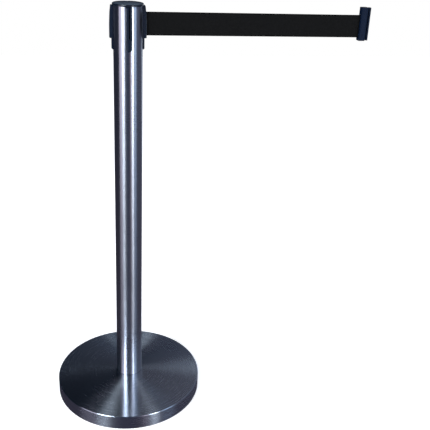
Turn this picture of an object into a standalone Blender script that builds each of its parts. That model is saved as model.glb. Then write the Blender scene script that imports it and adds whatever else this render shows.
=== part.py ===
"""Retractable belt stanchion: weighted round base, steel post, belt cassette with four side
channels, and a pulled-out webbing belt that ends in a T-shaped clip.

Metres, +Z up. The origin is on the post's axis at floor level, and the belt leaves along +X.
"""
from math import acos, cos, pi, radians, sin

import bmesh
import bpy
from mathutils import Matrix, Vector

# ---------------------------------------------------------------- driving dimensions
HEIGHT = 0.975            # floor to the top of the cap
TUBE_R = 0.0315           # post outer radius
TUBE_WALL = 0.0012
BASE_R = 0.180
BASE_RIM_H = 0.0375       # height of the base's outer edge
BASE_RISE = 0.0085        # how much higher the base is at the post
COVER_T = 0.0012          # spun cover's sheet
COVER_EDGE_R = 0.0022     # rounding of the cover's outer edge
SEAT_R = 0.0330           # flat seat round the foot of the post
GAP = 0.0003              # clearance between pieces that touch

BELT_W = 0.050
BELT_T = 0.0008
BELT_Z0 = HEIGHT - 0.0675  # lower edge of the belt
CLIP_X = 0.520            # inner face of the clip, with the belt pulled out this far

# ---------------------------------------------------------------- worked out from them
TUBE_IN = TUBE_R - TUBE_WALL
COVER_TOP = BASE_RIM_H + BASE_RISE
GASKET_T = 0.0004
TUBE_Z0 = COVER_TOP + GASKET_T + 0.0002
CAP_T = 0.0042
CAP_R = TUBE_R + 0.0020
CAP_DISH = 0.0008          # depth of the cap's sunk face inside its rim
HEAD_TOP = HEIGHT - CAP_T - GAP
TUBE_Z1 = HEAD_TOP
BELT_Z1 = BELT_Z0 + BELT_W
BELT_MID = (BELT_Z0 + BELT_Z1) / 2

# side channels
CHANNEL_W = 0.0122        # width across the bar
CHANNEL_R = 0.0394        # outer face
CHANNEL_TOP_R = 0.0368    # outer face at the tapered top
TAIL_R = 0.0352
TAIL_POINT = 0.0062       # height of the tail's pointed end
STEP_Z = HEIGHT - 0.0725  # where the bar steps back to the tail
TAIL_Z = HEIGHT - 0.0985  # lowest point of the tail
SLOT_FLOOR = HEIGHT - 0.070
SLOT_IN_R = 0.0319        # T-slot cavity, from this radius
SLOT_OUT_R = 0.0362       # to this one
SLOT_HALF = 0.0042        # half width of the cavity
NECK_HALF = 0.0014        # half width of the mouth
FLANGE_IN = 0.0268        # flat inner face of the flange behind the tube wall
FLANGE_HALF = 0.0100

# cassette
SHELL_R = 0.0265
SHELL_WALL = 0.0015
SHELL_Z0 = HEIGHT - 0.106
AXLE_R = 0.0050
AXLE_BORE_R = 0.0033
HUB_R = 0.0125
COIL_R = 0.0209           # about 1.5 m of webbing on the hub
SPOOL_FLANGE_R = 0.0240
DRUM_WALL = 0.0015
LID_Z = BELT_Z1 + 0.0056

# clip
CLIP_Z0 = HEIGHT - 0.0740
CLIP_H = 0.0735
CLIP_DEPTH = 0.0150
CLIP_HALF = 0.0080
CLIP_SPLIT = 0.0050       # joint between body and cover
TONGUE_NECK = 0.0044
TONGUE_T = 0.0038
TONGUE_HALF = 0.0038
TONGUE_NECK_HALF = 0.0011
TONGUE_CORNER = 0.0006
SHOULDER_H = 0.0034       # plate at the tongue's top, which stops on the receiver
PIN_R = 0.0016
PIN_X = CLIP_X + 0.0072
CLIP_EDGE_R = 0.0018


# ---------------------------------------------------------------- materials
def material(name, colour, roughness, metallic=0.0):
    found = bpy.data.materials.get(name)
    if found:
        return found
    mat = bpy.data.materials.new(name)
    mat.use_nodes = True
    shader = mat.node_tree.nodes["Principled BSDF"]
    shader.inputs["Base Color"].default_value = (*colour, 1.0)
    shader.inputs["Roughness"].default_value = roughness
    shader.inputs["Metallic"].default_value = metallic
    return mat


def brushed_steel():
    return material("brushed_stainless", (0.62, 0.63, 0.66), 0.28, 1.0)


def spun_steel():
    return material("spun_stainless", (0.58, 0.59, 0.61), 0.32, 1.0)


def plain_steel():
    return material("zinc_steel", (0.55, 0.56, 0.58), 0.40, 1.0)


def spring_steel():
    return material("spring_steel", (0.30, 0.31, 0.34), 0.35, 1.0)


def iron():
    return material("cast_iron", (0.07, 0.07, 0.075), 0.75, 0.6)


def black_plastic():
    return material("black_abs", (0.018, 0.018, 0.021), 0.42)


def grey_plastic():
    return material("grey_acetal", (0.30, 0.30, 0.31), 0.45)


def white_nylon():
    return material("white_nylon", (0.75, 0.74, 0.70), 0.45)


def rubber():
    return material("black_rubber", (0.02, 0.02, 0.02), 0.85)


def webbing():
    return material("black_webbing", (0.022, 0.022, 0.024), 0.80)


# ---------------------------------------------------------------- shape helpers
def add_object(name, bm, mat, centre=(0.0, 0.0, 0.0), smooth=True):
    """Make an object from a bmesh given in world coordinates, with its origin at centre."""
    bmesh.ops.recalc_face_normals(bm, faces=bm.faces)
    bmesh.ops.translate(bm, verts=bm.verts, vec=-Vector(centre))
    mesh = bpy.data.meshes.new(name)
    bm.to_mesh(mesh)
    bm.free()
    if smooth:
        mesh.shade_smooth()
        mesh.set_sharp_from_angle(angle=radians(32))
    obj = bpy.data.objects.new(name, mesh)
    obj.location = centre
    if mat:
        mesh.materials.append(mat)
    bpy.context.collection.objects.link(obj)
    return obj


def turned_mesh(profile, steps, closed=True):
    """Spin a profile of (radius, z) points about the Z axis; an open one starts and ends at radius 0."""
    bm = bmesh.new()
    verts = [bm.verts.new((r, 0.0, z)) for r, z in profile]
    pairs = list(zip(verts, verts[1:]))
    if closed:
        pairs.append((verts[-1], verts[0]))
    edges = [bm.edges.new(pair) for pair in pairs]
    bmesh.ops.spin(bm, geom=verts + edges, cent=(0, 0, 0), axis=(0, 0, 1), angle=2 * pi,
                   steps=steps, use_merge=True, use_duplicate=False)
    bmesh.ops.remove_doubles(bm, verts=bm.verts, dist=1e-7)
    bmesh.ops.dissolve_degenerate(bm, edges=bm.edges, dist=1e-7)
    return bm


def turned(name, profile, steps, mat, closed=True, centre=(0.0, 0.0, 0.0)):
    return add_object(name, turned_mesh(profile, steps, closed), mat, centre)


def ring(name, r_in, r_out, z0, z1, steps, mat):
    return turned(name, [(r_in, z0), (r_out, z0), (r_out, z1), (r_in, z1)], steps, mat)


def prism_mesh(outline, low, high, axis="Z"):
    """Extrude a flat outline along an axis. The outline is (x, y) for Z, (x, z) for Y, (y, z) for X."""
    place = {
        "Z": lambda a, b: (a, b, low),
        "Y": lambda a, b: (a, low, b),
        "X": lambda a, b: (low, a, b),
    }[axis]
    step = {"Z": (0, 0, high - low), "Y": (0, high - low, 0), "X": (high - low, 0, 0)}[axis]
    bm = bmesh.new()
    face = bm.faces.new([bm.verts.new(place(a, b)) for a, b in outline])
    grown = bmesh.ops.extrude_face_region(bm, geom=[face])
    new_verts = [g for g in grown["geom"] if isinstance(g, bmesh.types.BMVert)]
    bmesh.ops.translate(bm, verts=new_verts, vec=step)
    return bm


def box_outline(x0, y0, x1, y1):
    return [(x0, y0), (x1, y0), (x1, y1), (x0, y1)]


def arc(cx, cy, r, start, stop, count):
    """Points on a circle, angles in degrees, both ends included."""
    turns = [radians(start + (stop - start) * i / count) for i in range(count + 1)]
    return [(cx + r * cos(a), cy + r * sin(a)) for a in turns]


def rounded_box(x0, y0, x1, y1, r, count=4):
    return (arc(x1 - r, y0 + r, r, -90, 0, count) + arc(x1 - r, y1 - r, r, 0, 90, count)
            + arc(x0 + r, y1 - r, r, 90, 180, count) + arc(x0 + r, y0 + r, r, 180, 270, count))


def turn_about_z(bm, degrees):
    bmesh.ops.rotate(bm, verts=bm.verts, cent=(0, 0, 0), matrix=Matrix.Rotation(radians(degrees), 3, "Z"))
    return bm


def combine(obj, bm, operation="DIFFERENCE"):
    """Cut a bmesh out of an object, join it on, or keep what both share, with a hidden tool object."""
    tool = add_object(f"{obj.name}_tool_{len(obj.modifiers)}", bm, None, smooth=False)
    tool.hide_render = True
    tool.display_type = "WIRE"
    modifier = obj.modifiers.new(operation.lower(), "BOOLEAN")
    modifier.operation = operation
    modifier.object = tool
    return modifier


def cylinder_mesh(radius, z0, z1, steps, x=0.0, y=0.0):
    bm = turned_mesh([(0.0, z0), (radius, z0), (radius, z1), (0.0, z1)], steps, closed=False)
    bmesh.ops.translate(bm, verts=bm.verts, vec=(x, y, 0))
    return bm


def across_y(bm, x, z):
    """Turn a bmesh that was made along Z so that it points along +Y, on the line through x and z."""
    bmesh.ops.rotate(bm, verts=bm.verts, cent=(0, 0, 0), matrix=Matrix.Rotation(radians(-90), 3, "X"))
    bmesh.ops.translate(bm, verts=bm.verts, vec=(x, 0, z))
    return bm


# ---------------------------------------------------------------- base
COVER_LIFT = 0.0030       # floor to the cover's lower edge
COVER_BORE_R = 0.0080
PAD_T = 0.0040            # rubber pad under the base
PAD_R = BASE_R - 0.0020
GROOVES = (0.050, 0.090, 0.130, 0.160)   # radii of the pad's tread grooves
GROOVE_W = 0.0030
GROOVE_D = 0.0012
WEIGHT_R = BASE_R - COVER_T - 0.0010
WEIGHT_RIM_TOP = BASE_RIM_H - 0.0090
WEIGHT_T = 0.0105
WEIGHT_Z0 = PAD_T + GAP
WEIGHT_TOP = COVER_TOP - COVER_T - GAP
RIM_LIP = 0.0075          # width of the weight's raised edge
BOSS_R = 0.0360
RECESS_R = 0.0165         # counterbore for the foot bolt's head
RECESS_ROOF = 0.0225
M12 = 0.0060              # radius of the foot bolt's thread
M12_HOLE = M12 + 0.0008
WASHER_T = 0.0025
WASHER_HOLE = M12 + 0.0004


def dome_z(r):
    """Height of the base's top at a radius: a flat seat for the post, then a gentle fall to the rim."""
    share = max(0.0, r - SEAT_R) / (BASE_R - SEAT_R)
    return COVER_TOP - BASE_RISE * (0.72 * share + 0.28 * share * share)


def cover_profile(offset):
    """Outline of the cover's skin from skirt to centre, moved inwards by offset."""
    r_edge = BASE_R - offset
    corner = COVER_EDGE_R - offset
    z_edge = BASE_RIM_H - offset
    points = [(r_edge, COVER_LIFT)]
    points += arc(r_edge - corner, z_edge - corner, corner, 0, 84, 4)
    points += [(r, dome_z(r) - offset) for r in (0.130, 0.080, SEAT_R, COVER_BORE_R)]
    return points


def make_base():
    outer = cover_profile(0.0)
    inner = cover_profile(COVER_T)
    turned("base_cover", outer + inner[::-1], 80, spun_steel())

    plate_top = WEIGHT_Z0 + WEIGHT_T
    weight = [
        (RECESS_R, WEIGHT_Z0), (WEIGHT_R, WEIGHT_Z0), (WEIGHT_R, WEIGHT_RIM_TOP),
        (WEIGHT_R - RIM_LIP, WEIGHT_RIM_TOP), (WEIGHT_R - RIM_LIP - 0.0030, plate_top),
        (BOSS_R + 0.0100, plate_top), (BOSS_R, dome_z(BOSS_R) - COVER_T - 2 * GAP),
        (SEAT_R, WEIGHT_TOP), (M12_HOLE, WEIGHT_TOP), (M12_HOLE, RECESS_ROOF), (RECESS_R, RECESS_ROOF),
    ]
    turned("base_weight", weight, 56, iron())

    pad = [(0.0, 0.0)]
    for r in GROOVES:
        pad += [(r, 0.0), (r, GROOVE_D), (r + GROOVE_W, GROOVE_D), (r + GROOVE_W, 0.0)]
    pad += [(PAD_R - 0.0010, 0.0), (PAD_R, 0.0010), (PAD_R, PAD_T), (0.0, PAD_T)]
    turned("floor_pad", pad, 64, rubber(), closed=False)


def make_base_fixing():
    """An M12 bolt comes up through the weight into the threaded plug in the foot of the tube."""
    head_z0, head_h = 0.0072, 0.0080
    head = prism_mesh(arc(0, 0, 0.0110, 0, 300, 5), head_z0, head_z0 + head_h)
    bolt = add_object("foot_bolt", head, plain_steel(), smooth=False)
    shank = cylinder_mesh(M12, head_z0 + head_h - 0.002, TUBE_Z0 + 0.022, 28)
    combine(bolt, shank, "UNION")

    z = head_z0 + head_h + GAP
    split_ring = ring("foot_spring_washer", WASHER_HOLE, 0.0103, z, z + WASHER_T, 28, spring_steel())
    combine(split_ring, prism_mesh(box_outline(0.004, -0.0006, 0.012, 0.0006), z - 0.001, z + 0.004))
    z += WASHER_T + GAP
    ring("foot_washer", WASHER_HOLE, 0.0120, z, z + WASHER_T, 32, plain_steel())

    z = COVER_TOP + 0.0001
    ring("foot_gasket", 0.0290, TUBE_R - 0.0002, z, z + GASKET_T, 64, rubber())
    z, plug_r = TUBE_Z0 + 0.0006, TUBE_IN - 0.0002
    plug = [(M12 + GAP, z), (plug_r, z), (plug_r, z + 0.0154),
            (M12 + 0.006, z + 0.0154), (M12 + 0.004, z + 0.0194), (M12 + GAP, z + 0.0194)]
    turned("foot_plug", plug, 48, plain_steel())


# ---------------------------------------------------------------- post
def slot_outline(half, low, high):
    """A slot with a blunt pointed lower end, in the plane across the channel (y, z)."""
    tip = arc(0, low + 0.0020, 0.0020, -50, -130, 4)
    return [(half, high), (half, low + TAIL_POINT)] + tip + [(-half, low + TAIL_POINT), (-half, high)]


def make_post():
    tube = ring("post_tube", TUBE_IN, TUBE_R, TUBE_Z0, TUBE_Z1, 72, brushed_steel())
    opening = slot_outline(CHANNEL_W / 2 + GAP, TAIL_Z - GAP, HEIGHT + 0.01)
    for turn in (0, 90):
        combine(tube, turn_about_z(prism_mesh(opening, -0.05, 0.05, "X"), turn))
    disc_top = SHELL_Z0 - 0.0004
    ring("anchor_disc", AXLE_BORE_R, TUBE_IN - 0.0002, disc_top - 0.0052, disc_top, 48, plain_steel())


# ---------------------------------------------------------------- side channels
CHANNEL_ROOT = TUBE_R - 0.0025   # where bar and tail start, inside the tube's wall


def channel_bar():
    """The bar that stands out through the tube, in side view: tapered at the top, flat below."""
    side = [
        (CHANNEL_ROOT, STEP_Z), (CHANNEL_R - 0.0008, STEP_Z), (CHANNEL_R, STEP_Z + 0.0008),
        (CHANNEL_R, HEIGHT - 0.045), (CHANNEL_R - 0.0010, HEIGHT - 0.020),
        (CHANNEL_TOP_R, HEAD_TOP - 0.0008), (CHANNEL_TOP_R - 0.0006, HEAD_TOP), (CHANNEL_ROOT, HEAD_TOP),
    ]
    return prism_mesh(side, -CHANNEL_W / 2 - 0.001, CHANNEL_W / 2 + 0.001, "Y")


def channel_envelope():
    """Plan of the bar with its two rounded outer corners."""
    half, corner = CHANNEL_W / 2, 0.0018
    outer = CHANNEL_R + 0.0006
    plan = [(0.020, -half)] + arc(outer - corner, -half + corner, corner, -90, 0, 5)
    plan += arc(outer - corner, half - corner, corner, 0, 90, 5) + [(0.020, half)]
    return prism_mesh(plan, TAIL_Z - 0.01, HEIGHT + 0.01)


def channel_tail():
    """The tail below the bar: three facets across, and a pointed lower end that curves in to the tube."""
    half, facet = CHANNEL_W / 2 - 0.0001, 0.0028
    shoulder = TAIL_R - 0.0013
    plan = [(CHANNEL_ROOT, -half), (shoulder, -half), (TAIL_R, -facet), (TAIL_R, facet),
            (shoulder, half), (CHANNEL_ROOT, half)]
    return prism_mesh(plan, TAIL_Z, STEP_Z + 0.0004)


def tail_ends():
    """Side view that rounds the tail's lower end."""
    inner, rise = TUBE_R - 0.0030, 0.0065
    curve = [(inner + (TAIL_R + 0.0006 - inner) * sin(a), TAIL_Z + rise * (1 - cos(a)))
             for a in [radians(15 * i) for i in range(1, 7)]]
    above = HEIGHT + 0.01
    side = [(0.020, TAIL_Z)] + curve + [(0.050, TAIL_Z + rise), (0.050, above), (0.020, above)]
    return prism_mesh(side, -0.02, 0.02, "Y")


def flange_plan():
    edge = TUBE_IN - GAP
    angle = 180 / pi * (pi / 2 - acos(FLANGE_HALF / edge))
    return [(FLANGE_IN, -FLANGE_HALF)] + arc(0, 0, edge, -angle, angle, 8) + [(FLANGE_IN, FLANGE_HALF)]


def t_slot_plan():
    out = CHANNEL_R + 0.004
    return [(SLOT_IN_R, -SLOT_HALF), (SLOT_OUT_R, -SLOT_HALF), (SLOT_OUT_R, -NECK_HALF), (out, -NECK_HALF),
            (out, NECK_HALF), (SLOT_OUT_R, NECK_HALF), (SLOT_OUT_R, SLOT_HALF), (SLOT_IN_R, SLOT_HALF)]


def make_channel(name, turn):
    """One side channel: bar, tail and the flange that stays behind the tube wall."""
    channel = add_object(name, turn_about_z(channel_bar(), turn), black_plastic())
    combine(channel, turn_about_z(channel_envelope(), turn), "INTERSECT")
    combine(channel, turn_about_z(channel_tail(), turn), "UNION")
    combine(channel, turn_about_z(tail_ends(), turn), "INTERSECT")
    tail_end = slot_outline(CHANNEL_W / 2 + 0.0002, TAIL_Z, HEIGHT + 0.01)
    combine(channel, turn_about_z(prism_mesh(tail_end, 0.01, 0.05, "X"), turn), "INTERSECT")
    flange = prism_mesh(flange_plan(), TAIL_Z + TAIL_POINT, HEAD_TOP - GAP)
    combine(channel, turn_about_z(flange, turn), "UNION")
    return channel


def make_receivers():
    for name, turn in (("receiver_front", -90), ("receiver_left", 180), ("receiver_rear", 90)):
        receiver = make_channel(name, turn)
        combine(receiver, turn_about_z(prism_mesh(t_slot_plan(), SLOT_FLOOR, HEIGHT + 0.01), turn))


def make_outlet():
    """The belt's own channel: a narrow upright slot with a flared inner mouth."""
    outlet = make_channel("belt_outlet", 0)
    half, mouth = 0.0015, 0.0056
    plan = [(0.020, -mouth), (FLANGE_IN - 0.0001, -mouth), (FLANGE_IN + 0.0030, -half), (0.045, -half),
            (0.045, half), (FLANGE_IN + 0.0030, half), (FLANGE_IN - 0.0001, mouth), (0.020, mouth)]
    combine(outlet, prism_mesh(plan, BELT_Z0 - 0.0012, BELT_Z1 + 0.0012))


# ---------------------------------------------------------------- cassette
def make_cassette_shell():
    inside, bore, top = SHELL_R - SHELL_WALL, AXLE_R + GAP, HEAD_TOP - 0.0006
    profile = [(bore, SHELL_Z0), (SHELL_R, SHELL_Z0), (SHELL_R, top), (inside, top),
               (inside, SHELL_Z0 + 0.0020), (bore, SHELL_Z0 + 0.0020)]
    shell = turned("cassette_shell", profile, 56, black_plastic())
    window = box_outline(0.010, -0.0080, 0.040, 0.0190)
    combine(shell, prism_mesh(window, BELT_Z0 - 0.0020, BELT_Z1 + 0.0020))
    ring("cassette_lid", bore, inside - GAP, LID_Z, LID_Z + 0.0020, 48, black_plastic())


def make_axle():
    z0, z1 = SHELL_Z0 + 0.0001, LID_Z + 0.0026
    axle = ring("axle_sleeve", AXLE_BORE_R, AXLE_R, z0, z1, 28, plain_steel())
    spring_slot = box_outline(-0.0004, -0.0080, 0.0004, 0.0)
    combine(axle, prism_mesh(spring_slot, SHELL_Z0 - 0.001, SHELL_Z0 + 0.0370))

    washer_t = 0.0012
    ring("bolt_washer", AXLE_BORE_R, 0.0068, z1 + GAP, z1 + GAP + washer_t, 28, plain_steel())
    head_z, head_h, foot_z = z1 + 2 * GAP + washer_t, 0.0026, SHELL_Z0 - 0.0090
    shank_r, head_r = AXLE_BORE_R - GAP, 0.0050
    bolt = [(0.0, foot_z), (shank_r, foot_z), (shank_r, head_z), (head_r, head_z),
            (head_r, head_z + head_h), (0.0, head_z + head_h)]
    cassette_bolt = turned("cassette_bolt", bolt, 24, plain_steel(), closed=False)
    combine(cassette_bolt, prism_mesh(arc(0, 0, 0.0023, 0, 300, 5), head_z + 0.0006, head_z + 0.004))
    ring("thrust_washer", AXLE_R + GAP, 0.0090, SHELL_Z0 + 0.0023, SHELL_Z0 + 0.0033, 32, grey_plastic())


SPOOL_Z0 = SHELL_Z0 + 0.0037
DRUM_ROOF = BELT_Z0 - 0.0025
SPOOL_Z1 = LID_Z - 0.0012
BORE_R = AXLE_R + 0.0022


def make_spool():
    """Belt hub with two flanges above, and the drum for the mainspring below, in one moulding."""
    drum_out = SPOOL_FLANGE_R
    drum_in = drum_out - DRUM_WALL
    rim_z, low, high = SPOOL_Z0 + 0.0016, BELT_Z0 - 0.0006, BELT_Z1 + 0.0006
    profile = [
        (drum_in, rim_z), (drum_out, rim_z), (drum_out, low), (HUB_R, low), (HUB_R, high),
        (SPOOL_FLANGE_R, high), (SPOOL_FLANGE_R, high + 0.0018), (BORE_R, SPOOL_Z1 - 0.0010),
        (BORE_R, DRUM_ROOF), (drum_in, DRUM_ROOF),
    ]
    turned("spool", profile, 56, grey_plastic())
    ring("spring_cover", AXLE_R + 0.0025, drum_out - 0.0002, SPOOL_Z0, SPOOL_Z0 + 0.0013, 48, grey_plastic())

    for name, z0, z1 in (("lower_bush", DRUM_ROOF + 0.0004, DRUM_ROOF + 0.0100),
                         ("upper_bush", SPOOL_Z1 - 0.0110, SPOOL_Z1 - 0.0014)):
        ring(name, AXLE_R + 0.0002, BORE_R - 0.0002, z0, z1, 32, white_nylon())


def make_mainspring():
    """A flat strip wound between the axle's slot and the drum's wall."""
    turns, per_turn, strip = 5.5, 20, 0.0004
    start_r, end_r = AXLE_R + 0.0012, SPOOL_FLANGE_R - DRUM_WALL - 0.0012
    count = int(turns * per_turn)
    middle = [Vector((0.0, -AXLE_R + 0.0010, 0.0)), Vector((0.0, -AXLE_R - 0.0003, 0.0))]
    for i in range(1, count + 1):
        share = i / count
        turn, r = 2 * pi * turns * share - pi / 2, start_r + (end_r - start_r) * share ** 0.8
        middle.append(Vector((r * cos(turn), r * sin(turn), 0.0)))
    sides = ([], [])
    for i, point in enumerate(middle):
        along = (middle[min(i + 1, len(middle) - 1)] - middle[max(i - 1, 0)]).normalized()
        across = Vector((-along.y, along.x, 0.0)) * strip / 2
        sides[0].append((point + across).xy)
        sides[1].append((point - across).xy)
    z0, z1 = SPOOL_Z0 + 0.0024, DRUM_ROOF - 0.0008
    bm = bmesh.new()
    loops = [[bm.verts.new((p.x, p.y, z)) for p in side] for side in sides for z in (z0, z1)]
    left_low, left_high, right_low, right_high = loops
    for i in range(len(middle) - 1):
        j = i + 1
        bm.faces.new((left_low[i], left_low[j], left_high[j], left_high[i]))
        bm.faces.new((right_low[i], right_high[i], right_high[j], right_low[j]))
        bm.faces.new((left_low[i], right_low[i], right_low[j], left_low[j]))
        bm.faces.new((left_high[i], left_high[j], right_high[j], right_high[i]))
    for i in (0, len(middle) - 1):
        bm.faces.new((left_low[i], left_high[i], right_high[i], right_low[i]))
    add_object("mainspring", bm, spring_steel())


def make_top_cap():
    spigot_out = SHELL_R - SHELL_WALL - GAP
    spigot_in = spigot_out - 0.0014
    bottom = HEIGHT - CAP_T
    spigot_z = bottom - 0.0040
    profile = [
        (0.0, bottom), (spigot_in, bottom), (spigot_in, spigot_z), (spigot_out, spigot_z),
        (spigot_out, bottom), (CAP_R - 0.0004, bottom), (CAP_R, bottom + 0.0004), (CAP_R, HEIGHT - 0.0012),
        (CAP_R - 0.0004, HEIGHT - 0.0004), (CAP_R - 0.0012, HEIGHT), (CAP_R - 0.0022, HEIGHT),
        (CAP_R - 0.0030, HEIGHT - CAP_DISH), (0.0, HEIGHT - CAP_DISH),
    ]
    cap = turned("top_cap", profile, 72, black_plastic(), closed=False)
    for turn in (90, 180, 270):
        notch = box_outline(SLOT_IN_R - 0.0007, -SLOT_HALF - 0.0002, 0.045, SLOT_HALF + 0.0002)
        combine(cap, turn_about_z(prism_mesh(notch, bottom - 0.01, HEIGHT + 0.01), turn))


# ---------------------------------------------------------------- belt
def make_belt_coil():
    ring("belt_coil", HUB_R + GAP, COIL_R, BELT_Z0, BELT_Z1, 56, webbing())


def make_belt_strap():
    """Webbing from the coil, round the outlet's inner edge, straight out to a loop on the clip's pin."""
    lead_r = COIL_R + GAP + BELT_T / 2
    bend_x = FLANGE_IN + 0.0032
    turn = acos(lead_r / bend_x)
    leave = Vector((lead_r * cos(turn), lead_r * sin(turn)))
    bend = Vector((bend_x, 0.0))
    inward = (leave - bend).normalized()
    middle = [leave, bend + inward * 0.0016, bend + inward * 0.0005 + Vector((0.0002, 0.0)),
              bend + Vector((0.0014, 0.0)), Vector((CLIP_X - 0.05, 0.0)),
              Vector((PIN_X - PIN_R - 0.0006, 0.0))]
    sides = ([], [])
    for i, point in enumerate(middle):
        along = (middle[min(i + 1, len(middle) - 1)] - middle[max(i - 1, 0)]).normalized()
        across = Vector((-along.y, along.x)) * BELT_T / 2
        sides[0].append(point + across)
        sides[1].append(point - across)
    outline = [(p.x, p.y) for p in sides[1]] + [(p.x, p.y) for p in sides[0][::-1]]
    strap = add_object("belt_strap", prism_mesh(outline, BELT_Z0, BELT_Z1), webbing())
    inside = PIN_R + GAP
    outside = inside + BELT_T
    loop = turned_mesh([(inside, BELT_Z0), (outside, BELT_Z0), (outside, BELT_Z1), (inside, BELT_Z1)], 20)
    bmesh.ops.translate(loop, verts=loop.verts, vec=(PIN_X, 0, 0))
    combine(strap, loop, "UNION")


# ---------------------------------------------------------------- clip
POCKET_HALF = 0.0038
SCREW_HEIGHTS = {"clip_screw_lower": CLIP_Z0 + 0.0034, "clip_screw_upper": CLIP_Z0 + CLIP_H - 0.0052}
SCREW_X = CLIP_X + 0.0114
SCREW_R = 0.0012
SCREW_HEAD_R = 0.0020


def make_clip_body():
    """Block that holds the belt's loop, with the T-shaped tongue that drops into a receiver."""
    x1 = CLIP_X + CLIP_DEPTH
    top = CLIP_Z0 + CLIP_H
    block = rounded_box(CLIP_X, -CLIP_HALF, x1, CLIP_SPLIT + 0.010, CLIP_EDGE_R)
    corner = (CLIP_X, 0, CLIP_Z0)
    body = add_object("clip_body", prism_mesh(block, CLIP_Z0, top), black_plastic(), centre=corner)
    keep = box_outline(CLIP_X - 0.01, -0.02, x1 + 0.01, CLIP_SPLIT)
    combine(body, prism_mesh(keep, CLIP_Z0 - 0.01, top + 0.01), "INTERSECT")
    root, neck = x1 - 0.001, x1 + TONGUE_NECK
    end = neck + TONGUE_T
    half_tongue = [(root, TONGUE_NECK_HALF), (neck, TONGUE_NECK_HALF), (neck, TONGUE_HALF),
                   (end - TONGUE_CORNER, TONGUE_HALF), (end, TONGUE_HALF - TONGUE_CORNER)]
    tongue = [(x, -y) for x, y in half_tongue] + half_tongue[::-1]
    combine(body, prism_mesh(tongue, CLIP_Z0 + 0.0004, top - 0.0004), "UNION")
    shoulder = box_outline(root, -TONGUE_HALF, end - 0.0004, TONGUE_HALF)
    combine(body, prism_mesh(shoulder, top - SHOULDER_H, top - 0.0002), "UNION")
    pocket = box_outline(CLIP_X + 0.0025, -POCKET_HALF, CLIP_X + 0.0108, CLIP_SPLIT + 0.01)
    combine(body, prism_mesh(pocket, BELT_Z0 - 0.001, BELT_Z1 + 0.001))
    mouth = box_outline(CLIP_X - 0.01, -0.0012, CLIP_X + 0.005, 0.0012)
    combine(body, prism_mesh(mouth, BELT_Z0 - 0.001, BELT_Z1 + 0.001))
    seat = PIN_R + GAP
    groove = box_outline(PIN_X - seat, -seat, PIN_X + seat, CLIP_SPLIT + 0.01)
    combine(body, prism_mesh(groove, BELT_Z0 - 0.0045, BELT_Z1 + 0.0045))
    for height in SCREW_HEIGHTS.values():
        hole = across_y(cylinder_mesh(SCREW_R + GAP, -0.0045, 0.02, 16), SCREW_X, height)
        combine(body, hole)


def make_clip_cover():
    x1 = CLIP_X + CLIP_DEPTH
    top = CLIP_Z0 + CLIP_H
    plate = rounded_box(CLIP_X, -CLIP_HALF, x1, CLIP_HALF, CLIP_EDGE_R)
    corner = (CLIP_X, 0, CLIP_Z0)
    cover = add_object("clip_cover", prism_mesh(plate, CLIP_Z0, top), black_plastic(), centre=corner)
    keep = box_outline(CLIP_X - 0.01, CLIP_SPLIT + 0.0002, x1 + 0.01, 0.02)
    combine(cover, prism_mesh(keep, CLIP_Z0 - 0.01, top + 0.01), "INTERSECT")
    for height in SCREW_HEIGHTS.values():
        bore, sunk = SCREW_R + GAP, SCREW_HEAD_R + GAP
        sink = turned_mesh([(0.0, 0.002), (bore, 0.002), (bore, CLIP_HALF - 0.0018),
                            (sunk, CLIP_HALF - 0.0004), (sunk, 0.02), (0.0, 0.02)], 16, closed=False)
        combine(cover, across_y(sink, SCREW_X, height))


def make_clip_fixings():
    pin = cylinder_mesh(PIN_R, BELT_Z0 - 0.0042, BELT_Z1 + 0.0042, 20, x=PIN_X)
    add_object("clip_pin", pin, plain_steel(), centre=(PIN_X, 0, BELT_MID))
    for name, height in SCREW_HEIGHTS.items():
        screw = turned_mesh([(0.0, -0.0040), (SCREW_R, -0.0036), (SCREW_R, CLIP_HALF - 0.0018),
                             (SCREW_HEAD_R, CLIP_HALF - 0.0005), (SCREW_HEAD_R, CLIP_HALF - 0.0002),
                             (0.0, CLIP_HALF - 0.0002)], 16, closed=False)
        add_object(name, across_y(screw, SCREW_X, height), plain_steel(), centre=(SCREW_X, 0, height))


# ---------------------------------------------------------------- build
def main():
    for obj in list(bpy.data.objects):
        bpy.data.objects.remove(obj)
    make_base()
    make_base_fixing()
    make_post()
    make_receivers()
    make_outlet()
    make_cassette_shell()
    make_axle()
    make_spool()
    make_mainspring()
    make_top_cap()
    make_belt_coil()
    make_belt_strap()
    make_clip_body()
    make_clip_cover()
    make_clip_fixings()


main()
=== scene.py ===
"""Looks of the retractable belt stanchion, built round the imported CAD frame.

Finer shells stand for the CAD solids that show, the webbing is modelled yarn by yarn across its width,
and every other CAD solid keeps its shape and gets a material. Metres, +Z up, belt along +X.
"""
from math import acos, cos, pi, radians, sin, sqrt

import bmesh
import bpy
import numpy as np
from mathutils import Matrix, Vector


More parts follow.
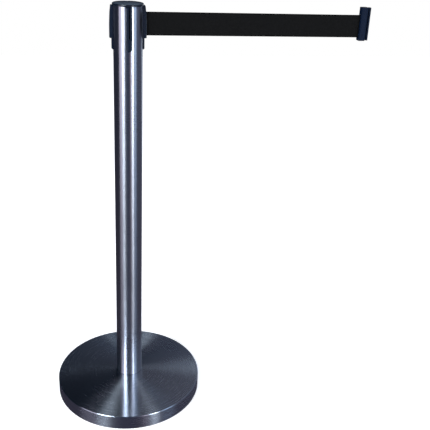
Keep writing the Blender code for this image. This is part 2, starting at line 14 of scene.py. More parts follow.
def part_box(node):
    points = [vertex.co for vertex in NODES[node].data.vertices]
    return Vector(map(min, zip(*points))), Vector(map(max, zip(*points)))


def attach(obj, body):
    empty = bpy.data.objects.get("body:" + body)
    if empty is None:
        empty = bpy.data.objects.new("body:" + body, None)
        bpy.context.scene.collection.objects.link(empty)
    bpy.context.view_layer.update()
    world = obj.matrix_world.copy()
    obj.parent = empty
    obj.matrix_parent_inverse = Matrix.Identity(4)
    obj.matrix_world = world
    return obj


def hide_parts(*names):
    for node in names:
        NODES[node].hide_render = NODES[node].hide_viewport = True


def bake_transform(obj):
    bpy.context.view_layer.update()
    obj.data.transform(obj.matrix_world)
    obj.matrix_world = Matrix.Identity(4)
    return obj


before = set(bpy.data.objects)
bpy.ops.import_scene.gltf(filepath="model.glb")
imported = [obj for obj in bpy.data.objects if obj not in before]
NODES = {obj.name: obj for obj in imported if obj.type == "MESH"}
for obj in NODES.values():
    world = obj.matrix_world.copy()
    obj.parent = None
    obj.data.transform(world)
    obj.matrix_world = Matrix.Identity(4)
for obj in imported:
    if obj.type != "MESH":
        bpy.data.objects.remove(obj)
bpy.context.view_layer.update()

# ---------------------------------------------------------------- places, read from the frame
TUBE_LOW, TUBE_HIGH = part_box("post_tube")
COVER_LOW, COVER_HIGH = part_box("base_cover")
STRAP_LOW, STRAP_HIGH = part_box("belt_strap")
PIN_LOW, PIN_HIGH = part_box("clip_pin")

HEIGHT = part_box("top_cap")[1].z
TUBE_R = TUBE_HIGH.x
BASE_R = COVER_HIGH.x
TUBE_WALL = 0.0012
COVER_T = 0.0012
EDGE_R = 0.0020           # rounding of the cover's outer edge
SEAT_R = 0.0330           # flat seat round the foot of the post
BASE_RISE = 0.0085
BOLT_HOLE_R = 0.0080
TUBE_STEPS = 192          # facets round the tube
BASE_STEPS = 288          # and round the base
SLOT_HALF = 0.0064        # half width of the tube's slots
SLOT_GAP = 0.0003         # clearance below a channel's tail
SLOT_POINT = 0.0062       # height of the slot's pointed end
BELT_Z0, BELT_Z1 = STRAP_LOW.z, STRAP_HIGH.z
BELT_MID = (BELT_Z0 + BELT_Z1) / 2
COIL_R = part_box("belt_coil")[1].x
CLIP_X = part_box("clip_body")[0].x
PIN_X = (PIN_LOW.x + PIN_HIGH.x) / 2
PIN_R = (PIN_HIGH.x - PIN_LOW.x) / 2


# ---------------------------------------------------------------- mesh helpers
def add_mesh(name, bm, body, material, sharp=32):
    """Turn a bmesh in world coordinates into a smooth-shaded piece that rides on a body."""
    bmesh.ops.recalc_face_normals(bm, faces=bm.faces)
    mesh = bpy.data.meshes.new(name)
    bm.to_mesh(mesh)
    bm.free()
    mesh.shade_smooth()
    mesh.set_sharp_from_angle(angle=radians(sharp))
    obj = bpy.data.objects.new(name, mesh)
    bpy.context.scene.collection.objects.link(obj)
    mesh.materials.append(material)
    if body:
        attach(obj, body)
    return obj


def arc(cx, cy, r, start, stop, count):
    """Points on a circle from start to stop, in degrees."""
    turns = [radians(start + (stop - start) * i / count) for i in range(count + 1)]
    return [(cx + r * cos(a), cy + r * sin(a)) for a in turns]


def spun(profile, steps):
    """A closed profile of (radius, z) points turned about the Z axis."""
    bm = bmesh.new()
    turns = [2 * pi * i / steps for i in range(steps)]
    rings = [[bm.verts.new((r * cos(a), r * sin(a), z)) for a in turns] for r, z in profile]
    for low, high in zip(rings, rings[1:] + rings[:1]):
        for i in range(steps):
            j = (i + 1) % steps
            bm.faces.new((low[i], low[j], high[j], high[i]))
    return bm


def prism_across_x(outline, low, high):
    """Solid with a (y, z) outline, from low to high along X."""
    bm = bmesh.new()
    ends = [[bm.verts.new((x, y, z)) for y, z in outline] for x in (low, high)]
    for end in ends:
        bm.faces.new(end)
    for i in range(len(outline)):
        j = (i + 1) % len(outline)
        bm.faces.new((ends[0][i], ends[0][j], ends[1][j], ends[1][i]))
    bmesh.ops.recalc_face_normals(bm, faces=bm.faces)
    return bm


def turned_about_z(bm, degrees):
    """Turn a bmesh about the Z axis, and return it."""
    bmesh.ops.rotate(bm, verts=bm.verts, cent=(0, 0, 0), matrix=Matrix.Rotation(radians(degrees), 3, "Z"))
    return bm


def apply_modifiers(obj):
    """Bake an object's modifiers into its mesh."""
    bpy.context.view_layer.update()
    evaluated = obj.evaluated_get(bpy.context.evaluated_depsgraph_get())
    mesh = bpy.data.meshes.new_from_object(evaluated)
    obj.modifiers.clear()
    obj.data = mesh


def cut(obj, bm):
    """Cut a bmesh out of an object for good."""
    mesh = bpy.data.meshes.new("cutter")
    bm.to_mesh(mesh)
    bm.free()
    tool = bpy.data.objects.new("cutter", mesh)
    bpy.context.scene.collection.objects.link(tool)
    modifier = obj.modifiers.new("cut", "BOOLEAN")
    modifier.operation = "DIFFERENCE"
    modifier.object = tool
    apply_modifiers(obj)
    bpy.data.objects.remove(tool)


def soften(obj, width, segments, angle):
    """Round an object's sharp edges."""
    modifier = obj.modifiers.new("soften", "BEVEL")
    modifier.width = width
    modifier.segments = segments
    modifier.limit_method = "ANGLE"
    modifier.angle_limit = radians(angle)
    modifier.harden_normals = True
    modifier.use_clamp_overlap = True
    apply_modifiers(obj)


def stand_for(node):
    """Hide a CAD solid that a finer piece stands in for."""
    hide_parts(node)


# ---------------------------------------------------------------- material helpers
class Nodes:
    """A material's node tree, with short ways to add nodes and join them."""

    def __init__(self, name):
        self.material = bpy.data.materials.new(name)
        self.material.use_nodes = True
        self.tree = self.material.node_tree
        self.shader = self.tree.nodes["Principled BSDF"]
        coordinates = self.add("ShaderNodeTexCoord")
        self.position = coordinates.outputs["Object"]

    def add(self, kind, **settings):
        node = self.tree.nodes.new(kind)
        for key, value in settings.items():
            setattr(node, key, value)
        return node

    def join(self, source, target):
        self.tree.links.new(source, target)

    def set(self, **values):
        """Fixed values on the shader's own sockets."""
        for key, value in values.items():
            self.shader.inputs[key.replace("_", " ")].default_value = value

    def feed(self, node, values):
        """Give a node's inputs numbers or other nodes' outputs, and return its first output."""
        for socket, value in zip(node.inputs, values):
            if isinstance(value, (int, float)):
                socket.default_value = value
            else:
                self.join(value, socket)
        return node.outputs[0]

    def math(self, operation, *values):
        return self.feed(self.add("ShaderNodeMath", operation=operation), values)

    def vector(self, x, y, z):
        return self.feed(self.add("ShaderNodeCombineXYZ"), (x, y, z))

    def scaled(self, x, y, z):
        """The place on the object, stretched by a factor along each axis."""
        places = [self.math("MULTIPLY", value, factor) for value, factor in zip(self.split(), (x, y, z))]
        return self.vector(*places)

    def radius(self):
        """Distance from the Z axis."""
        x, y, _ = self.split()
        return self.math("SQRT", self.math("ADD", self.math("MULTIPLY", x, x), self.math("MULTIPLY", y, y)))

    def split(self):
        """The place on the object, as X, Y and Z."""
        node = self.add("ShaderNodeSeparateXYZ")
        self.join(self.position, node.inputs[0])
        return node.outputs

    def noise(self, vector, scale, detail=3.0, roughness=0.5):
        node = self.add("ShaderNodeTexNoise")
        self.join(vector, node.inputs["Vector"])
        node.inputs["Scale"].default_value = scale
        node.inputs["Detail"].default_value = detail
        node.inputs["Roughness"].default_value = roughness
        return node.outputs["Fac"]

    def ramp(self, value, low, high, start=0.0, stop=1.0):
        """Map a value from start..stop to low..high."""
        node = self.add("ShaderNodeMapRange")
        self.join(value, node.inputs["Value"])
        node.inputs["From Min"].default_value = start
        node.inputs["From Max"].default_value = stop
        node.inputs["To Min"].default_value = low
        node.inputs["To Max"].default_value = high
        return node.outputs["Result"]

    def colour(self, factor, dark, light):
        """Colour the surface between dark and light."""
        node = self.add("ShaderNodeMix", data_type="RGBA")
        self.join(factor, node.inputs["Factor"])
        node.inputs["A"].default_value = (*dark, 1.0)
        node.inputs["B"].default_value = (*light, 1.0)
        self.join(node.outputs["Result"], self.shader.inputs["Base Color"])

    def bump(self, height, strength, distance):
        node = self.add("ShaderNodeBump")
        node.inputs["Strength"].default_value = strength
        node.inputs["Distance"].default_value = distance
        self.join(height, node.inputs["Height"])
        self.join(node.outputs["Normal"], self.shader.inputs["Normal"])


def turned_grain(nodes, along, across):
    """Noise drawn out round the Z axis, as a brush or a lathe leaves it; along is its grain per radian."""
    x, y, z = nodes.split()
    place = nodes.vector(nodes.math("MULTIPLY", nodes.radius(), across),
                         nodes.math("MULTIPLY", nodes.math("ARCTAN2", y, x), along),
                         nodes.math("MULTIPLY", z, across))
    return nodes.noise(place, 1.0, 4.0, 0.6)


def brushed_material(name, dark, light, roughness, anisotropic, along, across, bump):
    """Stainless steel brushed round the post's axis."""
    nodes = Nodes(name)
    grain = turned_grain(nodes, along, across)
    nodes.colour(grain, dark, light)
    smudge = nodes.noise(nodes.position, 9.0, 4.0)
    nodes.join(nodes.math("ADD", nodes.ramp(grain, -0.04, 0.04, 0.3, 0.7),
                          nodes.ramp(smudge, roughness - 0.015, roughness + 0.03, 0.3, 0.7)),
               nodes.shader.inputs["Roughness"])
    nodes.set(Metallic=1.0, Anisotropic=anisotropic, Anisotropic_Rotation=0.25)
    tangent = nodes.add("ShaderNodeTangent", direction_type="RADIAL", axis="Z")
    nodes.join(tangent.outputs["Tangent"], nodes.shader.inputs["Tangent"])
    nodes.bump(grain, bump, 0.00002)
    return nodes.material


def plastic_material(name, dark, light, roughness, gloss=0.35):
    """Moulded plastic with a fine spark-eroded grain and faint upright rub marks from use."""
    nodes = Nodes(name)
    grain = nodes.noise(nodes.position, 2600.0, 2.0)
    cloud = nodes.noise(nodes.position, 45.0, 3.0)
    rubbed = nodes.noise(nodes.scaled(900.0, 900.0, 30.0), 1.0, 3.0, 0.7)
    tone = nodes.math("ADD", nodes.math("MULTIPLY", cloud, 0.6), nodes.ramp(rubbed, 0.0, 0.4, 0.45, 0.75))
    nodes.colour(tone, dark, light)
    matt = nodes.ramp(cloud, roughness - 0.05, roughness + 0.05, 0.3, 0.7)
    polish = nodes.ramp(rubbed, 0.04, -0.06, 0.5, 0.8)
    nodes.join(nodes.math("ADD", matt, polish), nodes.shader.inputs["Roughness"])
    nodes.set(Specular_IOR_Level=gloss)
    nodes.bump(grain, 0.25, 0.00003)
    return nodes.material


def rubber_material():
    """Dull black rubber with a mottled surface."""
    nodes = Nodes("rubber")
    grain = nodes.noise(nodes.position, 700.0, 4.0)
    nodes.colour(grain, (0.012, 0.012, 0.012), (0.035, 0.034, 0.033))
    nodes.join(nodes.ramp(grain, 0.72, 0.92), nodes.shader.inputs["Roughness"])
    nodes.bump(grain, 0.4, 0.0001)
    return nodes.material


def iron_material():
    """Sand-cast iron under a thin dark primer."""
    nodes = Nodes("cast_iron")
    sand = nodes.noise(nodes.position, 420.0, 6.0, 0.65)
    patch = nodes.noise(nodes.position, 22.0, 3.0)
    nodes.colour(patch, (0.030, 0.030, 0.032), (0.075, 0.070, 0.066))
    nodes.join(nodes.ramp(sand, 0.55, 0.85), nodes.shader.inputs["Roughness"])
    nodes.set(Metallic=0.35)
    nodes.bump(sand, 0.8, 0.0006)
    return nodes.material


def machined_material(name, dark, light, roughness):
    """Turned or plated steel fittings."""
    nodes = Nodes(name)
    grain = nodes.noise(nodes.position, 1500.0, 3.0)
    nodes.colour(grain, dark, light)
    nodes.join(nodes.ramp(grain, roughness - 0.06, roughness + 0.08), nodes.shader.inputs["Roughness"])
    nodes.set(Metallic=1.0)
    nodes.bump(grain, 0.15, 0.00003)
    return nodes.material


YARN = 0.00125            # spacing of the warp yarns across the belt
PICK = 0.00110            # spacing of the weft along it
SELVEDGE = 0.0024         # width of the darker woven edge


def webbing_material():
    """Black polyester webbing: warp yarns run along the belt, and the weft crosses them."""
    nodes = Nodes("webbing")
    x, y, z = nodes.split()
    column = nodes.math("MULTIPLY", z, 1.0 / YARN)
    shift = nodes.math("MULTIPLY", nodes.math("FLOOR", column), 0.5)
    row = nodes.math("ADD", nodes.math("MULTIPLY", x, 1.0 / PICK), shift)
    across = nodes.math("ABSOLUTE", nodes.math("SUBTRACT", nodes.math("FRACT", column), 0.5))
    along = nodes.math("ABSOLUTE", nodes.math("SUBTRACT", nodes.math("FRACT", row), 0.5))
    ridge, knuckle = [
        nodes.math("SUBTRACT", 1.0, nodes.math("MULTIPLY", nodes.math("MULTIPLY", offset, offset), curve))
        for offset, curve in ((across, 3.6), (along, 3.2))]
    weave = nodes.math("MULTIPLY", ridge, knuckle)
    fibre = nodes.noise(nodes.scaled(500.0, 1.0, 5200.0), 1.0, 3.0)
    tone = nodes.math("ADD", nodes.math("MULTIPLY", weave, 0.6), nodes.math("MULTIPLY", fibre, 0.4))
    from_edge = nodes.math("SUBTRACT", (BELT_Z1 - BELT_Z0) / 2,
                           nodes.math("ABSOLUTE", nodes.math("SUBTRACT", z, BELT_MID)))
    tone = nodes.math("MULTIPLY", tone, nodes.ramp(from_edge, 0.1, 1.0, SELVEDGE * 0.7, SELVEDGE * 1.3))
    nodes.colour(tone, (0.0010, 0.0010, 0.0010), (0.0062, 0.0060, 0.0058))
    nodes.join(nodes.ramp(fibre, 0.66, 0.84), nodes.shader.inputs["Roughness"])
    nodes.set(Sheen_Weight=0.01, Sheen_Roughness=0.5, Specular_IOR_Level=0.05)
    nodes.bump(nodes.math("ADD", weave, nodes.math("MULTIPLY", fibre, 0.25)), 0.8, 0.00022)
    return nodes.material


STEEL_TUBE = brushed_material("brushed_tube", (0.40, 0.42, 0.47), (0.52, 0.54, 0.59), roughness=0.30,
                              anisotropic=0.92, along=1.4, across=2600.0, bump=0.06)
STEEL_BASE = brushed_material("spun_base", (0.49, 0.54, 0.62), (0.60, 0.66, 0.74), roughness=0.235,
                              anisotropic=1.0, along=2.2, across=2400.0, bump=0.10)
BLACK_ABS = plastic_material("black_abs", (0.002, 0.005, 0.012), (0.005, 0.010, 0.022), 0.34, 0.18)
CLIP_ABS = plastic_material("clip_abs", (0.0015, 0.0045, 0.013), (0.003, 0.0075, 0.020), 0.42, 0.05)
CAP_ABS = plastic_material("cap_abs", (0.002, 0.004, 0.009), (0.004, 0.008, 0.016), 0.20, 0.5)
THREAD = plastic_material("black_thread", (0.0015, 0.0015, 0.0018), (0.005, 0.005, 0.006), 0.60, 0.15)
GREY_ACETAL = plastic_material("grey_acetal", (0.26, 0.26, 0.27), (0.34, 0.34, 0.35), 0.45)
NYLON = plastic_material("natural_nylon", (0.66, 0.64, 0.58), (0.76, 0.74, 0.68), 0.5)
RUBBER = rubber_material()
IRON = iron_material()
ZINC = machined_material("zinc_steel", (0.50, 0.51, 0.53), (0.62, 0.63, 0.64), 0.35)
BLACK_OXIDE = machined_material("black_oxide", (0.03, 0.03, 0.035), (0.06, 0.06, 0.065), 0.40)
BLUED = machined_material("blued_spring", (0.10, 0.12, 0.18), (0.22, 0.22, 0.26), 0.28)
WEBBING = webbing_material()

KEPT = {
    "base_weight": IRON, "floor_pad": RUBBER, "foot_gasket": RUBBER, "foot_bolt": ZINC, "foot_washer": ZINC,
    "foot_spring_washer": BLUED, "foot_plug": ZINC, "anchor_disc": ZINC, "axle_sleeve": ZINC,
    "cassette_bolt": BLACK_OXIDE, "bolt_washer": ZINC, "mainspring": BLUED, "cassette_shell": BLACK_ABS,
    "cassette_lid": BLACK_ABS, "spool": GREY_ACETAL, "spring_cover": GREY_ACETAL, "thrust_washer": NYLON,
    "lower_bush": NYLON, "upper_bush": NYLON, "clip_pin": ZINC, "clip_screw_lower": BLACK_OXIDE,
    "clip_screw_upper": BLACK_OXIDE,
}


def dress_kept_nodes():
    for name, material in KEPT.items():
        slots = NODES[name].data.materials
        slots.clear()
        slots.append(material)
        NODES[name].data.set_sharp_from_angle(angle=radians(32))


# ---------------------------------------------------------------- base
def dome_z(r):
    """Height of the base's top at a radius: a flat seat for the post, then a gentle fall to the rim."""
    share = max(0.0, r - SEAT_R) / (BASE_R - SEAT_R)
    return COVER_HIGH.z - BASE_RISE * (0.72 * share + 0.28 * share * share)


def make_base_shell():
    """The spun cover: upright skirt, tight rounded edge and gently curved top, as one sheet."""
    def skin(offset):
        corner = EDGE_R - offset
        edge = BASE_R - offset
        shoulder = dome_z(BASE_R - EDGE_R) - offset
        points = [(edge, COVER_LOW.z), (edge, COVER_LOW.z + 0.010), (edge, shoulder - corner - 0.001)]
        points += arc(edge - corner, shoulder - corner, corner, 0, 86, 8)
        count = 26
        start = BASE_R - 1.3 * EDGE_R
        for i in range(count + 1):
            r = start + (BOLT_HOLE_R - start) * i / count
            points.append((r, dome_z(r) - offset))
        return points
    outer, inner = skin(0.0), skin(COVER_T)
    shell = add_mesh("base_shell", spun(outer + inner[::-1], BASE_STEPS), "stand", STEEL_BASE, 40)
    stand_for("base_cover")


# ---------------------------------------------------------------- post
def slot_outline(half, low, high, point):
    """A slot open at the top, with a blunt pointed lower end, as (y, z)."""
    tip = arc(0, low + 0.0020, 0.0020, -50, -130, 6)
    return [(half, high), (half, low + point)] + tip + [(-half, low + point), (-half, high)]


def make_post_shell():
    """The tube, with four slots cut down from its top by two prisms that cross it."""
    inner = TUBE_R - TUBE_WALL
    profile = [(inner, TUBE_LOW.z), (TUBE_R - 0.0002, TUBE_LOW.z), (TUBE_R, TUBE_LOW.z + 0.0002),
               (TUBE_R, TUBE_HIGH.z - 0.0003), (TUBE_R - 0.0003, TUBE_HIGH.z), (inner, TUBE_HIGH.z)]
    shell = add_mesh("post_shell", spun(profile, TUBE_STEPS), "stand", STEEL_TUBE, 40)
    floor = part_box("receiver_front")[0].z - SLOT_GAP
    opening = slot_outline(SLOT_HALF, floor, HEIGHT + 0.01, SLOT_POINT)
    for turn in (0, 90):
        cut(shell, turned_about_z(prism_across_x(opening, -0.05, 0.05), turn))
    shell.data.shade_smooth()
    shell.data.set_sharp_from_angle(angle=radians(40))
    stand_for("post_tube")


# ---------------------------------------------------------------- copies of CAD solids with rounded edges
def rounded_copy(node, name, material, body, width):
    """A CAD solid with its edges rounded, as a moulding has them."""
    mesh = NODES[node].data.copy()
    mesh.name = name
    mesh.materials.clear()
    mesh.materials.append(material)
    obj = bpy.data.objects.new(name, mesh)
    bpy.context.scene.collection.objects.link(obj)
    bm = bmesh.new()
    bm.from_mesh(mesh)
    bmesh.ops.remove_doubles(bm, verts=bm.verts, dist=1e-6)
    bmesh.ops.dissolve_limit(bm, angle_limit=radians(1.0), verts=bm.verts, edges=bm.edges)
    bm.to_mesh(mesh)
    bm.free()
    mesh.shade_smooth()
    mesh.set_sharp_from_angle(angle=radians(25))
    soften(obj, width, 2, 25)
    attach(obj, body)
    stand_for(node)


def make_head_shells():
    for side in ("front", "left", "rear"):
        rounded_copy(f"receiver_{side}", f"receiver_shell_{side}", BLACK_ABS, "stand", 0.00035)
    rounded_copy("belt_outlet", "belt_outlet_shell", BLACK_ABS, "stand", 0.00035)
    rounded_copy("top_cap", "cap_shell", CAP_ABS, "stand", 0.0002)
    rounded_copy("clip_body", "clip_shell", CLIP_ABS, "belt", 0.0004)
    rounded_copy("clip_cover", "clip_cover_shell", CLIP_ABS, "belt", 0.0003)


# ---------------------------------------------------------------- belt
BELT_T = 0.0008
LIP_X = 0.0300            # where the belt turns into the outlet's slot
FOLD = 0.0160             # webbing folded back behind the belt and sewn, next to the clip
LEAD = 0.0015             # where the belt slants to make room for the second ply
PLY = 0.00045             # half the distance between the two plies there
THREAD_R = 0.00019
STITCH = 0.0027           # pitch of the stitches


def strap_path():
    """The belt's middle line: from the coil, round the outlet's inner lip, straight to the clip, round its
    pin and back behind itself to the end of the sewn fold."""
    coil_r = COIL_R + 0.0007
    turn = acos(coil_r / LIP_X)
    leave = Vector((coil_r * cos(turn), coil_r * sin(turn)))
    lip = Vector((LIP_X, 0.0))
    inward = (leave - lip).normalized()
    points = [leave, leave.lerp(lip, 0.5), lip + inward * 0.0016,
              lip + inward * 0.0005 + Vector((0.0002, 0.0)), lip + Vector((0.0014, 0.0))]
    fold_x, mouth_x = CLIP_X - FOLD, CLIP_X + 0.0030
    start_x, count = points[-1].x, 100
    points += [Vector((start_x + (fold_x - LEAD - start_x) * i / count, 0.0)) for i in range(1, count + 1)]
    ply = [(x, -PLY) for x in (fold_x, fold_x + FOLD / 3, fold_x + 2 * FOLD / 3, CLIP_X, mouth_x)]
    around = PIN_R + 0.0003 + BELT_T / 2
    loop = arc(PIN_X, 0.0, around, -128, 128, 16)
    points += [Vector(p) for p in ply + loop]
    return points + [Vector((x, -y)) for x, y in ply[::-1]]


def strap_section():
    """Cross-section of the webbing, as (across, height share): warp ridges, and rounder selvedges."""
    width = BELT_Z1 - BELT_Z0
    count = 160
    face = []
    for i in range(count + 1):
        z = width * i / count
        edge = min(z, width - z)
        thick = 0.00030 + 0.00006 * abs(sin(pi * i / 4))
        if edge < 0.0022:
            thick = 0.00008 + 0.00034 * sqrt(max(0.0, 1 - ((edge - 0.0011) / 0.0011) ** 2))
        face.append((BELT_Z0 + z, thick))
    return face


def make_webbing():
    path = strap_path()
    face = strap_section()
    bm = bmesh.new()
    fronts, backs = [], []
    for i, point in enumerate(path):
        ahead = path[min(i + 1, len(path) - 1)] - path[max(i - 1, 0)]
        ahead.normalize()
        side = Vector((-ahead.y, ahead.x))
        fronts.append([bm.verts.new((point.x - side.x * t, point.y - side.y * t, z)) for z, t in face])
        backs.append([bm.verts.new((point.x + side.x * t, point.y + side.y * t, z)) for z, t in face])
    for i in range(len(path) - 1):
        for j in range(len(face) - 1):
            bm.faces.new((fronts[i][j], fronts[i + 1][j], fronts[i + 1][j + 1], fronts[i][j + 1]))
            bm.faces.new((backs[i][j], backs[i][j + 1], backs[i + 1][j + 1], backs[i + 1][j]))
        for j in (0, -1):
            bm.faces.new((fronts[i][j], backs[i][j], backs[i + 1][j], fronts[i + 1][j]))
    for i in (0, -1):
        for j in range(len(face) - 1):
            bm.faces.new((fronts[i][j], fronts[i][j + 1], backs[i][j + 1], backs[i][j]))
    strap = add_mesh("belt_webbing", bm, None, WEBBING, 50)
    stitching = make_stitching()
    stand_for("belt_strap")
    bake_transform(strap)
    places = np.empty(len(strap.data.vertices) * 3)
    strap.data.vertices.foreach_get("co", places)


def thread_stitch(bm, start, stop, out):
    """One stitch: a short thread that rises out of the webbing, lies on it and goes back in."""
    run = stop - start
    along = run.normalized()
    side = along.cross(out)
    rings = []
    rise = ((0.0, -0.00016), (0.12, 0.00006), (0.3, 0.00014))
    for share, lift in rise + tuple((1.0 - share, lift) for share, lift in rise[::-1]):
        centre = start + run * share + out * lift
        rings.append([bm.verts.new(centre + (side * cos(a) + out * sin(a)) * THREAD_R)
                      for a in [pi * k / 3 for k in range(6)]])
    for a, b in zip(rings, rings[1:]):
        for k in range(6):
            m = (k + 1) % 6
            bm.faces.new((a[k], a[m], b[m], b[k]))
    bm.faces.new(rings[0])
    bm.faces.new(rings[-1][::-1])


def make_stitching():
    """A sewn box with a cross in it, through both plies of the fold."""
    low, high = BELT_Z0 + 0.0035, BELT_Z1 - 0.0035
    left, right = CLIP_X - FOLD + 0.0020, CLIP_X - 0.0030
    corners = [(left, low), (right, low), (right, high), (left, high)]
    runs = list(zip(corners, corners[1:] + corners[:1]))
    runs += [(corners[0], corners[2]), (corners[1], corners[3])]
    bm = bmesh.new()
    for face in (-1, 1):
        surface = face * (PLY + 0.00036)
        for (x0, z0), (x1, z1) in runs:
            a, b = Vector((x0, surface, z0)), Vector((x1, surface, z1))
            count = max(2, round((b - a).length / STITCH))
            for i in range(count):
                start, stop = a.lerp(b, (i + 0.08) / count), a.lerp(b, (i + 0.92) / count)
                thread_stitch(bm, start, stop, Vector((0, face, 0)))
    stitching = add_mesh("belt_stitching", bm, "belt", THREAD, 60)
    return stitching


def make_coil():
    """The webbing still on the spool, wound layer on layer."""
    inner, outer, layers, per_turn = 0.0129, COIL_R - 0.0002, 14, 48
    strip = (outer - inner) / layers
    half = strip * 0.46
    count = layers * per_turn
    bm = bmesh.new()
    rows = []
    for i in range(count + 1):
        turn = 2 * pi * i / per_turn
        r = inner + half + (outer - inner - 2 * half) * i / count
        out = Vector((cos(turn), sin(turn), 0.0))
        rows.append([bm.verts.new(out * (r + d) + Vector((0, 0, z)))
                     for d, z in ((-half, BELT_Z0), (half, BELT_Z0), (half, BELT_Z1), (-half, BELT_Z1))])
    for a, b in zip(rows, rows[1:]):
        for j in range(4):
            k = (j + 1) % 4
            bm.faces.new((a[j], a[k], b[k], b[j]))
    bm.faces.new(rows[0])
    bm.faces.new(rows[-1][::-1])
    coil = add_mesh("coil_webbing", bm, "spool", WEBBING, 50)
    stand_for("belt_coil")


# ---------------------------------------------------------------- studio
def make_floor():
    """A plain pale floor that gives off its own light, shadowed by the object, and with a painted contact
    shadow: its emission is dimmed round the post. It is not mirrored in the steel.
    """
    bm = bmesh.new()
    corners = ((-4, -4), (4, -4), (4, 4), (-4, 4))
    bm.faces.new([bm.verts.new((x, y, -0.0005)) for x, y in corners])
    nodes = Nodes("pale_floor")
    nodes.set(Base_Color=(0.90, 0.90, 0.90, 1.0), Roughness=0.9, Specular_IOR_Level=0.1,
              Emission_Strength=1.0)
    # Painted contact shadow: the floor's emission is 0.66 within 0.18 m of the post and rises to full
    # strength at 0.5 m.
    glow_with_painted_shadow = nodes.ramp(nodes.radius(), 0.66, 1.0, 0.18, 0.50)
    nodes.join(nodes.vector(glow_with_painted_shadow, glow_with_painted_shadow, glow_with_painted_shadow), nodes.shader.inputs["Emission Color"])
    floor = add_mesh("studio_floor", bm, None, nodes.material)
    floor.visible_glossy = False


ROOM_LEFT = (0.018, 0.033, 0.052)
ROOM_RIGHT = (0.165, 0.190, 0.265)
ROOM_HIGH_LEFT = (0.001, 0.003, 0.006)
ROOM_HIGH_RIGHT = (0.190, 0.188, 0.228)
ROOM_LOW = (0.055, 0.048, 0.068)
ROOM_FRONT_LEFT = (0.050, 0.092, 0.185)
ROOM_FRONT_RIGHT = (0.110, 0.105, 0.165)


def make_world():
    """White to look at. What the steel mirrors is a dim room, darker on the left and purple low down."""
    world = bpy.data.worlds.new("studio")
    bpy.context.scene.world = world
    world.use_nodes = True
    tree = world.node_tree

    def add(kind, **settings):
        node = tree.nodes.new(kind)
        for key, value in settings.items():
            setattr(node, key, value)
        return node

    def grade(value, start, stop, low, high):
        factor = add("ShaderNodeMapRange", interpolation_type="SMOOTHSTEP")
        tree.links.new(value, factor.inputs["Value"])
        factor.inputs["From Min"].default_value = start
        factor.inputs["From Max"].default_value = stop
        mix = add("ShaderNodeMix", data_type="RGBA")
        tree.links.new(factor.outputs["Result"], mix.inputs["Factor"])
        for socket, colour in (("A", low), ("B", high)):
            if isinstance(colour, tuple):
                mix.inputs[socket].default_value = (*colour, 1.0)
            else:
                tree.links.new(colour, mix.inputs[socket])
        return mix.outputs["Result"]

    way = add("ShaderNodeTexCoord").outputs["Generated"]
    split = add("ShaderNodeSeparateXYZ")
    tree.links.new(way, split.inputs[0])
    sideways = grade(split.outputs["X"], -0.35, 0.65, ROOM_LEFT, ROOM_RIGHT)
    front = grade(split.outputs["X"], -0.25, 0.25, ROOM_FRONT_LEFT, ROOM_FRONT_RIGHT)
    high = grade(split.outputs["X"], -0.08, 0.55, ROOM_HIGH_LEFT, ROOM_HIGH_RIGHT)
    sideways = grade(split.outputs["Z"], 0.30, 0.62, sideways, high)
    ahead = grade(split.outputs["Y"], -1.0, -0.75, front, sideways)
    colour = grade(split.outputs["Z"], -0.5, 0.05, ROOM_LOW, ahead)
    room = tree.nodes["Background"]
    tree.links.new(colour, room.inputs["Color"])
    white = add("ShaderNodeBackground")
    white.inputs["Color"].default_value = (1.0, 1.0, 1.0, 1.0)
    mix = add("ShaderNodeMixShader")
    tree.links.new(add("ShaderNodeLightPath").outputs["Is Camera Ray"], mix.inputs["Fac"])
    tree.links.new(room.outputs[0], mix.inputs[1])
    tree.links.new(white.outputs[0], mix.inputs[2])
    tree.links.new(mix.outputs[0], tree.nodes["World Output"].inputs["Surface"])


# Soft boxes: azimuth from the camera (+ is towards +X), elevation, distance, width, height, watts
# and colour.
SOFT_BOXES = {
    "key_left": (-38, 28, 3.2, 0.97, 3.2, 128, (0.85, 0.92, 1.0)),
    "key_left_edge": (-59, 8, 3.2, 1.5, 2.6, 21, (0.95, 0.86, 1.0)),
    "key_right": (36.5, 13, 3.2, 0.68, 2.4, 56, (0.86, 0.92, 1.0)),
    "key_right_inner": (23, 9, 3.2, 0.45, 2.4, 5, (1.0, 0.82, 0.92)),
    "key_right_edge": (58, 12, 3.2, 1.1, 2.6, 15, (0.58, 0.76, 1.0)),
    "far_right": (145, 4, 3.4, 1.2, 2.4, 7, (0.80, 0.90, 1.0)),
    "rear_panel": (181, 10, 3.4, 0.5, 0.5, 0.25, (0.50, 0.75, 1.0)),
    "overhead": (0, 89, 3.0, 2.0, 2.0, 3, (0.85, 0.93, 1.0)),
}
AIM = Vector((0.0, 0.0, 0.55))


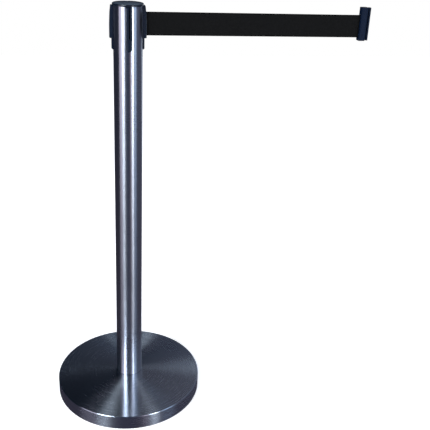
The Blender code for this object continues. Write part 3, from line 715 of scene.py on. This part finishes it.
def make_lights():
    for name, (azimuth, elevation, distance, width, height, power, colour) in SOFT_BOXES.items():
        light = bpy.data.lights.new(name, "AREA")
        light.shape = "RECTANGLE"
        light.size = width
        light.size_y = height
        light.energy = power
        light.color = colour
        obj = bpy.data.objects.new(name, light)
        bpy.context.scene.collection.objects.link(obj)
        a, e = radians(azimuth + CAMERA_AZIMUTH), radians(elevation)
        direction = Vector((sin(a) * cos(e), -cos(a) * cos(e), sin(e)))
        obj.location = AIM + direction * distance
        obj.rotation_euler = (-direction).to_track_quat("-Z", "Y").to_euler()
        obj.visible_camera = False


CAMERA_AZIMUTH = -4.5
CAMERA_DISTANCE = 1.5057
CAMERA_HEIGHT = 1.1859
CAMERA_YAW = 7.70
CAMERA_PITCH = 23.04
CAMERA_ROLL = 2.80
FOCAL = 1.6174            # focal length as a share of the picture's width
SHIFT_Y = -0.050
SENSOR = 36.0


def make_camera():
    camera = bpy.data.cameras.new("camera")
    camera.sensor_width = SENSOR
    camera.lens = FOCAL * SENSOR
    camera.shift_y = SHIFT_Y
    camera.clip_start = 0.05
    obj = bpy.data.objects.new("camera", camera)
    bpy.context.scene.collection.objects.link(obj)
    yaw, pitch, roll = radians(CAMERA_YAW), radians(CAMERA_PITCH), radians(CAMERA_ROLL)
    ahead = Vector((sin(yaw) * cos(pitch), cos(yaw) * cos(pitch), -sin(pitch)))
    level = Vector((cos(yaw), -sin(yaw), 0.0))
    down = ahead.cross(level)
    right = level * cos(roll) - down * sin(roll)
    up = -(down * cos(roll) + level * sin(roll))
    turn = Matrix((right, up, -ahead)).transposed().to_4x4()
    round_post = Matrix.Rotation(radians(CAMERA_AZIMUTH), 4, "Z")
    obj.matrix_world = round_post @ Matrix.Translation((0.0, -CAMERA_DISTANCE, CAMERA_HEIGHT)) @ turn
    bpy.context.scene.camera = obj


# ---------------------------------------------------------------- build
dress_kept_nodes()
make_base_shell()
make_post_shell()
make_head_shells()
make_webbing()
make_coil()
make_floor()
make_world()
make_lights()
make_camera()
bpy.context.scene.view_settings.view_transform = "Standard"
